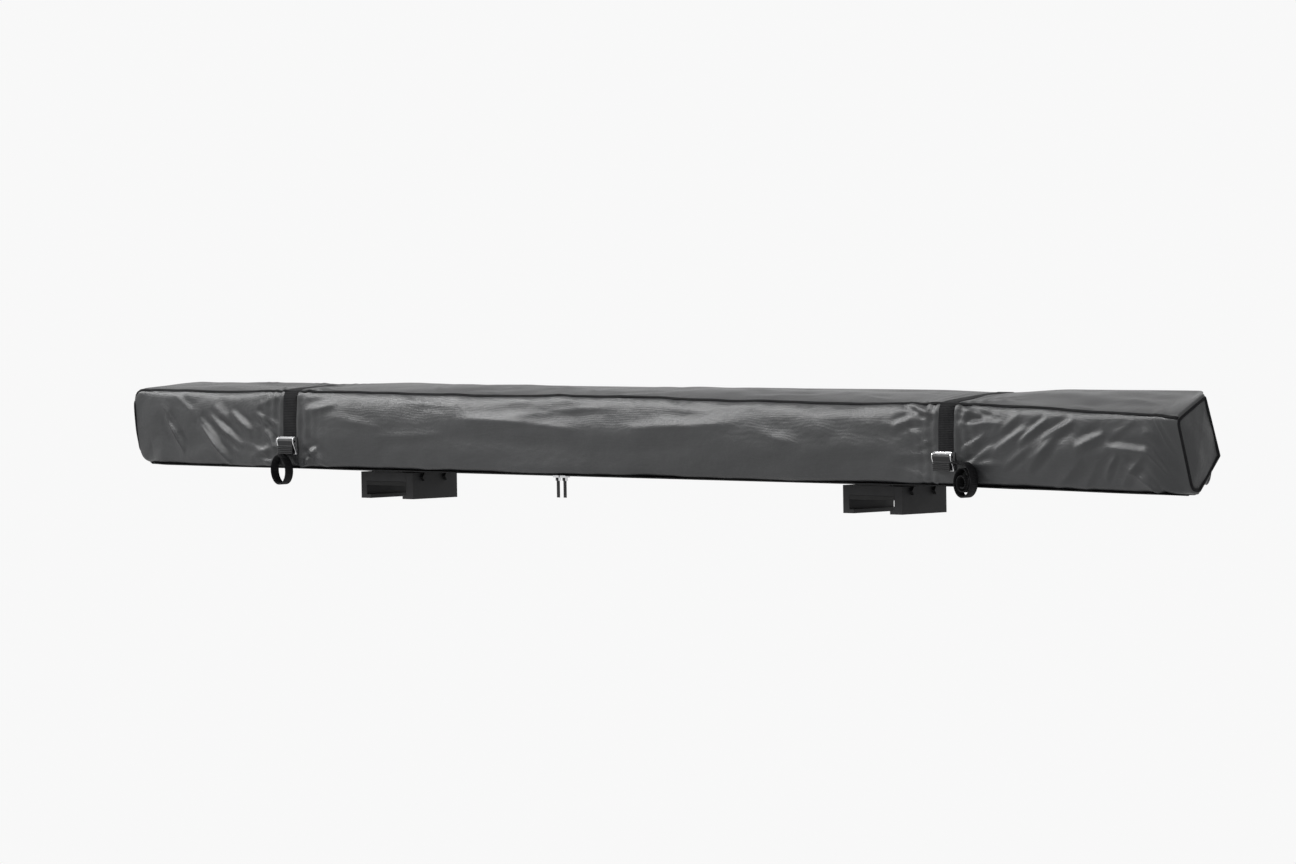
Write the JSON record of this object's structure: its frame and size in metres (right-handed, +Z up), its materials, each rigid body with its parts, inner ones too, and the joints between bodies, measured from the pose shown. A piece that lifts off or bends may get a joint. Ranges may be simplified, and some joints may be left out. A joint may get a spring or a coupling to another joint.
{
  "type": "vehicle side awning",
  "caption": "Roll-out side awning for roof bars, stowed in a zipped and strapped fabric cover, with lead beam, folding legs and rafters.",
  "frame": {"origin": "on the front saddle's rubber face, where the front roof bar touches it", "axes": "+X along the awning towards the vehicle's front, -Y away from the vehicle, the way the canopy comes out, +Z up"},
  "size_m": [1.99, 0.1395, 0.1532],
  "materials": {
    "cover_fabric": "coated woven fabric, charcoal, slightly glossy, creased",
    "webbing": "black polyester webbing",
    "zip_tape": "black woven zip tape with moulded teeth",
    "aluminium": "extruded and anodised, satin",
    "black_steel": "black powder coat",
    "bright_steel": "zinc plated, bright",
    "black_plastic": "fine moulded grain",
    "rubber": "matt",
    "canopy_fabric": "grey ripstop polyester"
  },
  "bodies": {
    "base": {"base_rail": "aluminium", "rail_cap_rear": "black_plastic", "rail_cap_front": "black_plastic", "keder_welt_upper": "webbing", "keder_welt_lower": "webbing", "bag_tray": "cover_fabric", "zip_tape_lower": "zip_tape", "bracket_rear": "black_steel", "bracket_front": "black_steel", "clamp_body_rear": "black_plastic", "clamp_body_front": "black_plastic", "saddle_pad_rear": "rubber", "saddle_pad_front": "rubber", "rafter_mount_rear": "black_plastic", "rafter_mount_front": "black_plastic", "rafter_pin_rear": "bright_steel", "rafter_pin_front": "bright_steel", "strap_lower_rear": "webbing", "strap_lower_front": "webbing"},
    "jaw_rear": {"clamp_jaw_rear": "black_plastic"},
    "jaw_front": {"clamp_jaw_front": "black_plastic"},
    "lead": {"lead_beam": "aluminium", "beam_cap_rear": "black_plastic", "beam_cap_front": "black_plastic", "canopy_roll": "canopy_fabric", "leg_pin_rear": "bright_steel", "leg_pin_front": "bright_steel"},
    "leg_rear": {"leg_tube_rear": "aluminium"},
    "leg_front": {"leg_tube_front": "aluminium"},
    "leg_inner_rear": {"leg_inner_rear": "aluminium", "leg_foot_rear": "rubber"},
    "leg_inner_front": {"leg_inner_front": "aluminium", "leg_foot_front": "rubber"},
    "collar_rear": {"leg_collar_rear": "black_plastic"},
    "collar_front": {"leg_collar_front": "black_plastic"},
    "rafter_rear": {"rafter_tube_rear": "aluminium"},
    "rafter_front": {"rafter_tube_front": "aluminium"},
    "rafter_inner_rear": {"rafter_inner_rear": "aluminium", "rafter_tip_rear": "black_plastic"},
    "rafter_inner_front": {"rafter_inner_front": "aluminium", "rafter_tip_front": "black_plastic"},
    "cover_flap": {"cover_top": "cover_fabric", "strap_top_rear": "webbing", "strap_top_front": "webbing"},
    "cover_face": {"cover_front": "cover_fabric", "zip_tape_upper": "zip_tape", "strap_face_rear": "webbing", "strap_face_front": "webbing"},
    "lever_rear": {"buckle_lever_rear": "bright_steel"},
    "lever_front": {"buckle_lever_front": "bright_steel"},
    "zip_rear": {"zip_slider_rear": "bright_steel"},
    "zip_front": {"zip_slider_front": "bright_steel"},
    "pull_rear": {"zip_pull_rear": "black_plastic"},
    "pull_front": {"zip_pull_front": "black_plastic"},
    "strap_rear": {"buckle_rear": "bright_steel", "strap_tail_rear": "webbing"},
    "strap_front": {"buckle_front": "bright_steel", "strap_tail_front": "webbing"}
  },
  "joints": [
    {"name": "canopy_out", "type": "slide", "parent": "base", "child": "lead", "axis": [0, -1, 0], "range_m": [0, 1.84], "deforming": ["canopy_roll"]},
    {"name": "cover_flap_open", "type": "hinge", "parent": "base", "child": "cover_flap", "pos_m": [-0.44, 0.0355, 0.1328], "axis": [-1, 0, 0], "range_deg": [0, 205], "deforming": ["cover_top", "strap_top_rear", "strap_top_front"]},
    {"name": "cover_face_open", "type": "hinge", "parent": "cover_flap", "child": "cover_face", "pos_m": [-0.44, -0.0672, 0.1328], "axis": [-1, 0, 0], "range_deg": [0, 90], "deforming": ["cover_front", "zip_tape_upper", "strap_face_rear", "strap_face_front"]},
    {"name": "leg_rear_swing", "type": "hinge", "parent": "lead", "child": "leg_rear", "pos_m": [-1.39, -0.0441, 0.0891], "axis": [0, 1, 0], "range_deg": [0, 90]},
    {"name": "leg_front_swing", "type": "hinge", "parent": "lead", "child": "leg_front", "pos_m": [0.51, -0.0221, 0.0891], "axis": [0, -1, 0], "range_deg": [0, 90]},
    {"name": "leg_rear_extend", "type": "slide", "parent": "leg_rear", "child": "leg_inner_rear", "axis": [1, 0, 0], "range_m": [0, 0.89]},
    {"name": "leg_front_extend", "type": "slide", "parent": "leg_front", "child": "leg_inner_front", "axis": [-1, 0, 0], "range_m": [0, 0.89]},
    {"name": "leg_rear_lock", "type": "hinge", "parent": "leg_rear", "child": "collar_rear", "pos_m": [-0.39, -0.0441, 0.0891], "axis": [1, 0, 0], "range_deg": [0, 90]},
    {"name": "leg_front_lock", "type": "hinge", "parent": "leg_front", "child": "collar_front", "pos_m": [-0.49, -0.0221, 0.0891], "axis": [-1, 0, 0], "range_deg": [0, 90]},
    {"name": "rafter_rear_swing", "type": "hinge", "parent": "base", "child": "rafter_rear", "pos_m": [-1.335, 0.015, 0.0611], "axis": [0, 0, -1], "range_deg": [0, 90]},
    {"name": "rafter_front_swing", "type": "hinge", "parent": "base", "child": "rafter_front", "pos_m": [0.455, 0.015, 0.0391], "axis": [0, 0, 1], "range_deg": [0, 90]},
    {"name": "rafter_rear_extend", "type": "slide", "parent": "rafter_rear", "child": "rafter_inner_rear", "axis": [1, 0, 0], "range_m": [0, 0.89]},
    {"name": "rafter_front_extend", "type": "slide", "parent": "rafter_front", "child": "rafter_inner_front", "axis": [-1, 0, 0], "range_m": [0, 0.89]},
    {"name": "zip_rear_slide", "type": "slide", "parent": "base", "child": "zip_rear", "axis": [-1, 0, 0], "range_m": [0, 0.85]},
    {"name": "zip_front_slide", "type": "slide", "parent": "base", "child": "zip_front", "axis": [1, 0, 0], "range_m": [0, 1.09]},
    {"name": "pull_rear_swing", "type": "hinge", "parent": "zip_rear", "child": "pull_rear", "pos_m": [-0.5685, -0.05585, 0.0159], "axis": [1, 0, 0], "range_deg": [-75, 75]},
    {"name": "pull_front_swing", "type": "hinge", "parent": "zip_front", "child": "pull_front", "pos_m": [-0.5555, -0.05585, 0.0159], "axis": [1, 0, 0], "range_deg": [-75, 75]},
    {"name": "strap_rear_drop", "type": "hinge", "parent": "base", "child": "strap_rear", "pos_m": [-1.095, 0.042, 0.0208], "axis": [1, 0, 0], "range_deg": [0, 120], "deforming": ["strap_lower_rear"]},
    {"name": "strap_front_drop", "type": "hinge", "parent": "base", "child": "strap_front", "pos_m": [0.162, 0.042, 0.0208], "axis": [1, 0, 0], "range_deg": [0, 120], "deforming": ["strap_lower_front"]},
    {"name": "lever_rear_open", "type": "hinge", "parent": "strap_rear", "child": "lever_rear", "pos_m": [-1.095, -0.0754, 0.0586], "axis": [-1, 0, 0], "range_deg": [0, 110]},
    {"name": "lever_front_open", "type": "hinge", "parent": "strap_front", "child": "lever_front", "pos_m": [0.162, -0.0754, 0.0586], "axis": [-1, 0, 0], "range_deg": [0, 110]},
    {"name": "jaw_rear_slide", "type": "slide", "parent": "base", "child": "jaw_rear", "axis": [1, 0, 0], "range_m": [0, 0.012]},
    {"name": "jaw_front_slide", "type": "slide", "parent": "base", "child": "jaw_front", "axis": [1, 0, 0], "range_m": [0, 0.012]}
  ],
  "couplings": [
    {"joint": "cover_flap_open", "follows": "canopy_out", "rad_per_m": 1.944},
    {"joint": "cover_face_open", "follows": "canopy_out", "rad_per_m": 0.8536},
    {"joint": "leg_rear_swing", "follows": "canopy_out", "rad_per_m": 0.8536},
    {"joint": "leg_front_swing", "follows": "canopy_out", "rad_per_m": 0.8536},
    {"joint": "leg_rear_extend", "follows": "canopy_out", "ratio": 0.4836},
    {"joint": "leg_front_extend", "follows": "canopy_out", "ratio": 0.4836},
    {"joint": "rafter_rear_swing", "follows": "canopy_out", "rad_per_m": 0.8536},
    {"joint": "rafter_front_swing", "follows": "canopy_out", "rad_per_m": 0.8536},
    {"joint": "rafter_rear_extend", "follows": "canopy_out", "ratio": 0.4836},
    {"joint": "rafter_front_extend", "follows": "canopy_out", "ratio": 0.4836},
    {"joint": "zip_rear_slide", "follows": "canopy_out", "ratio": 0.4619},
    {"joint": "zip_front_slide", "follows": "canopy_out", "ratio": 0.5923},
    {"joint": "strap_rear_drop", "follows": "canopy_out", "rad_per_m": 1.1382},
    {"joint": "strap_front_drop", "follows": "canopy_out", "rad_per_m": 1.1382}
  ]
}
